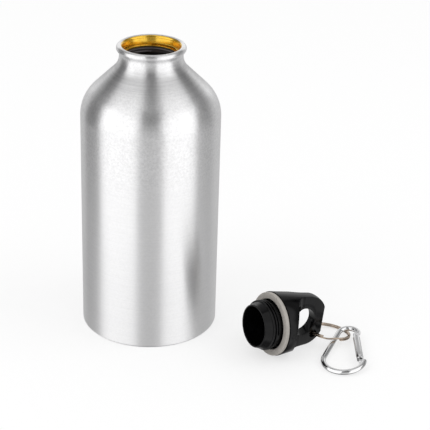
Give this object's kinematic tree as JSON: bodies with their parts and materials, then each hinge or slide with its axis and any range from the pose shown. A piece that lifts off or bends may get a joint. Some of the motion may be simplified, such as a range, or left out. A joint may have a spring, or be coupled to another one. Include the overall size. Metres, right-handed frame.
{
  "type": "aluminium_drinks_bottle",
  "caption": "Plain aluminium drinks bottle, standing open, with its black screw cap, split ring and small spring-gate carabiner lying beside it",
  "frame": {"origin": "Middle of the bottle's flat base, on the surface that it stands on", "axes": "+Z is the bottle's axis, from the base up to the mouth. +X points from the bottle towards the cap, ring and carabiner. -Y is the side that the picture was taken from."},
  "size_m": [0.1361, 0.091, 0.1419],
  "materials": {
    "brushed_aluminium": "fine brushed round the body, gold lacquer inside the neck",
    "black_plastic": "moulded, semi-gloss",
    "washer_silicone": "smooth, off-white",
    "ring_nickel": "nickel plated, slightly worn",
    "carabiner_chrome": "polished",
    "spring_steel": "bright drawn wire"
  },
  "bodies": {
    "bottle": {"bottle_shell": "brushed_aluminium"},
    "cap": {"cap_body": "black_plastic", "seal_washer": "washer_silicone"},
    "ring": {"split_ring": "ring_nickel"},
    "carabiner": {"carabiner_frame": "carabiner_chrome"},
    "gate": {"gate": "carabiner_chrome", "hinge_pin": "carabiner_chrome", "latch_pin": "carabiner_chrome", "gate_spring": "spring_steel"},
    "plunger": {"plunger": "spring_steel"}
  },
  "joints": [
    {"name": "cap_lift", "type": "slide", "parent": "bottle", "child": "cap", "axis": [0, 0, 1], "range_m": [0, 0.17]},
    {"name": "ring_swing", "type": "hinge", "parent": "cap", "child": "ring", "pos_m": [0.07812, -0.02506, 0.00525], "axis": [0.4695, -0.8829, 0], "range_deg": [0, 60]},
    {"name": "carabiner_travel", "type": "hinge", "parent": "ring", "child": "carabiner", "pos_m": [0.08779, -0.02233, 0.0034], "axis": [-0.161, -0.1863, -0.9692], "range_deg": [0, 30]},
    {"name": "gate_swing", "type": "hinge", "parent": "carabiner", "child": "gate", "pos_m": [0.10051, -0.02876, 0.00419], "axis": [0.0955, 0.0585, -0.9937], "range_deg": [0, 25], "stiffness_Nm_per_rad": 0.02, "springref_deg": -20.05},
    {"name": "plunger_slide", "type": "slide", "parent": "gate", "child": "plunger", "axis": [-0.0201, -0.998, -0.0607], "range_m": [0, 0.00026]}
  ],
  "couplings": [
    {"joint": "plunger_slide", "follows": "gate_swing", "m_per_rad": 0.000573}
  ]
}
